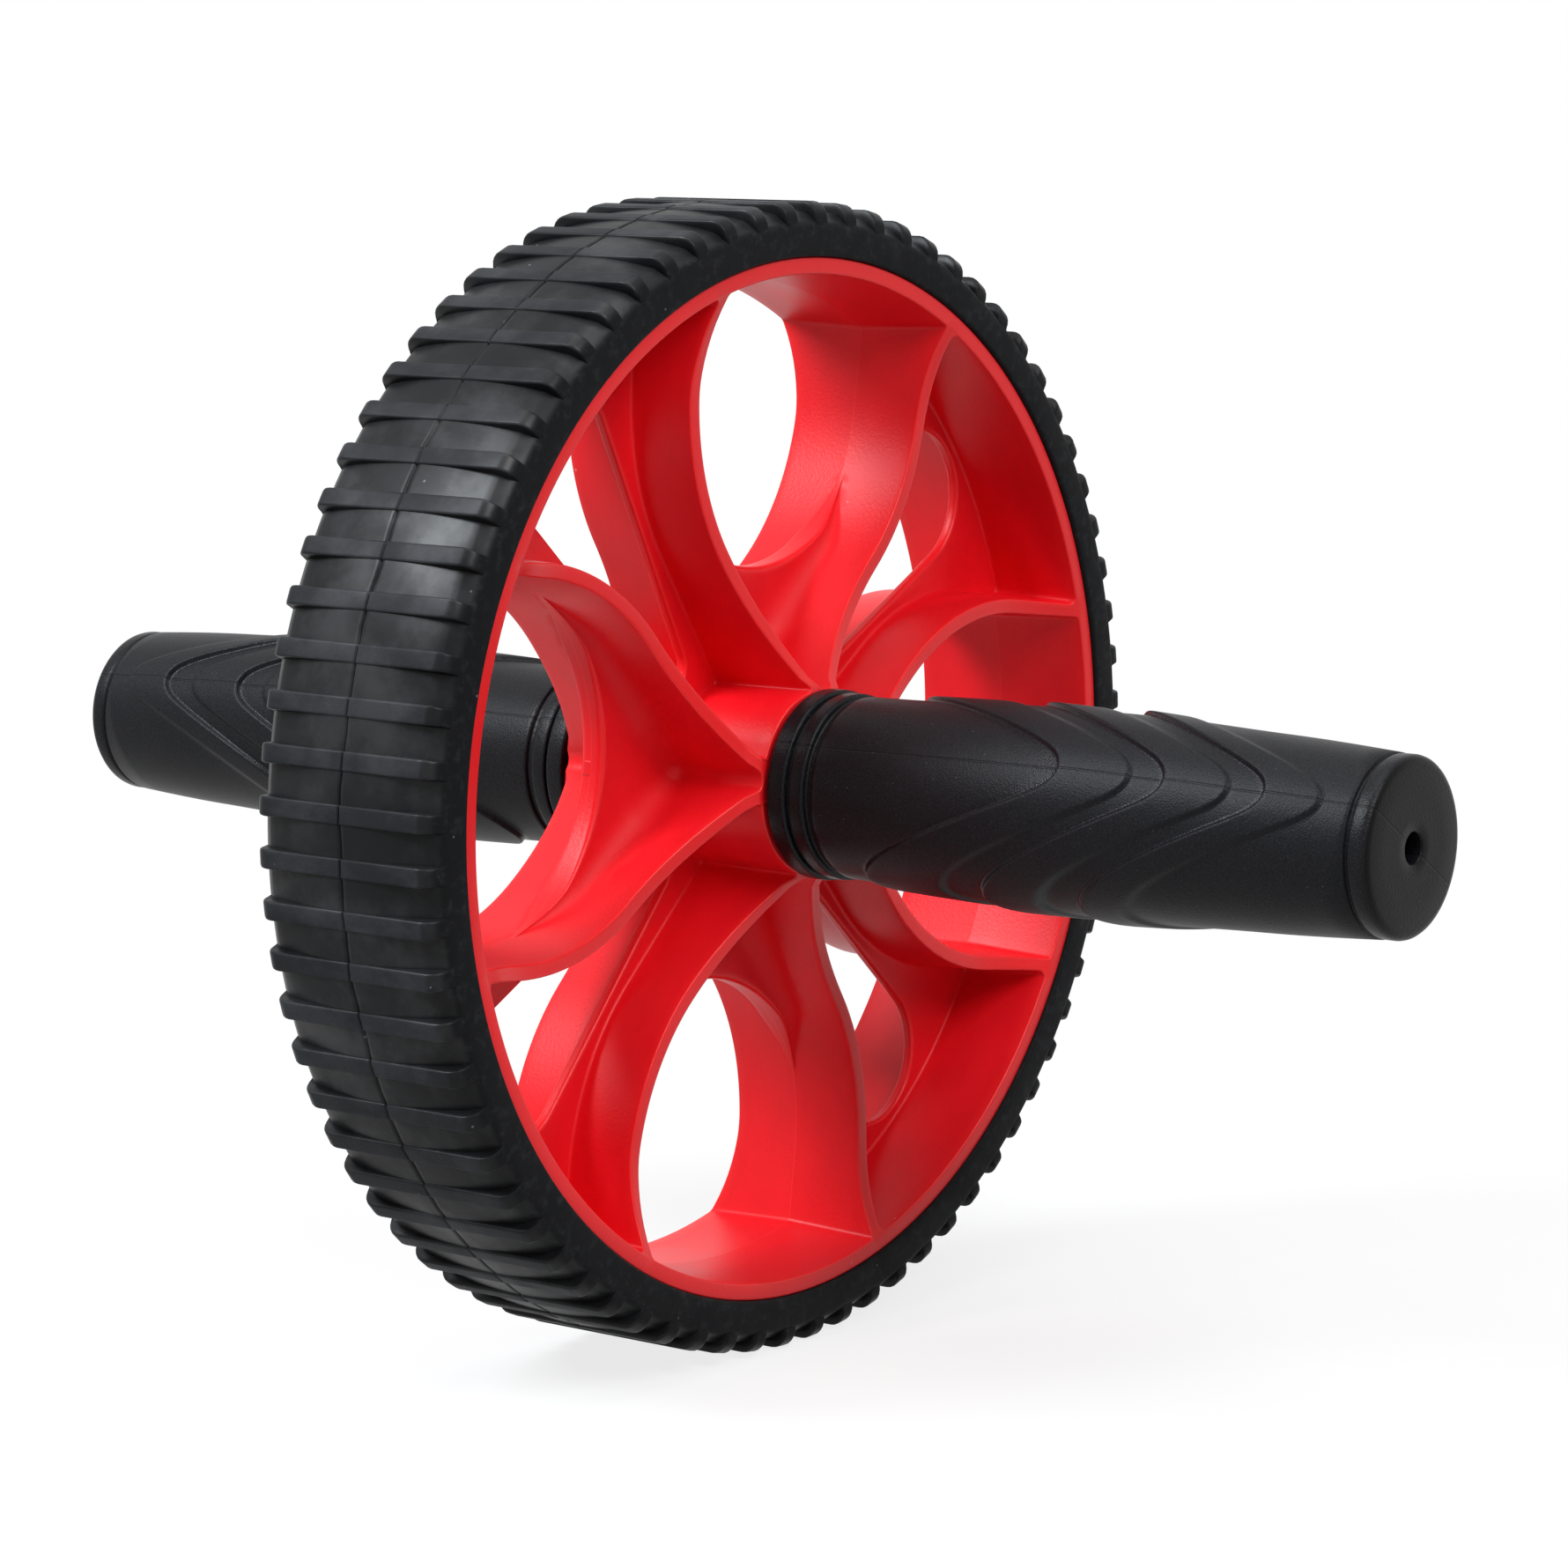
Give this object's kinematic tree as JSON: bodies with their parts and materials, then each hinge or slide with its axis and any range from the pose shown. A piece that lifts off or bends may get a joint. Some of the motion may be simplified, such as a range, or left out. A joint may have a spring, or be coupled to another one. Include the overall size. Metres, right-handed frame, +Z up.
{
  "type": "ab wheel roller",
  "caption": "Exercise roller: a wide spoked wheel with a lugged rubber tyre turns freely on a bar between two soft hand grips.",
  "frame": {"origin": "centre of the wheel, on the axle's axis and in the wheel's middle plane", "axes": "+Y along the axle towards the left grip, +Z up with the roller standing on its tread, +X the way it rolls"},
  "size_m": [0.2, 0.279, 0.2],
  "materials": {
    "red_plastic": "satin moulded",
    "tyre_rubber": "matt, slightly dusty",
    "grip_rubber": "fine satin grain",
    "steel": "drawn bright",
    "bush_plastic": "natural",
    "core_plastic": "plain moulded"
  },
  "bodies": {
    "handle_bar": {"axle_bar": "steel", "thrust_washer_left": "steel", "thrust_washer_right": "steel", "handle_core_left": "core_plastic", "handle_core_right": "core_plastic", "grip_left": "grip_rubber", "grip_right": "grip_rubber"},
    "wheel": {"wheel_core": "red_plastic", "tyre": "tyre_rubber", "hub_bush_left": "bush_plastic", "hub_bush_right": "bush_plastic"}
  },
  "joints": [
    {"name": "wheel_spin", "type": "hinge", "parent": "handle_bar", "child": "wheel", "pos_m": [0, 0, 0], "axis": [0, 1, 0], "continuous": true}
  ]
}
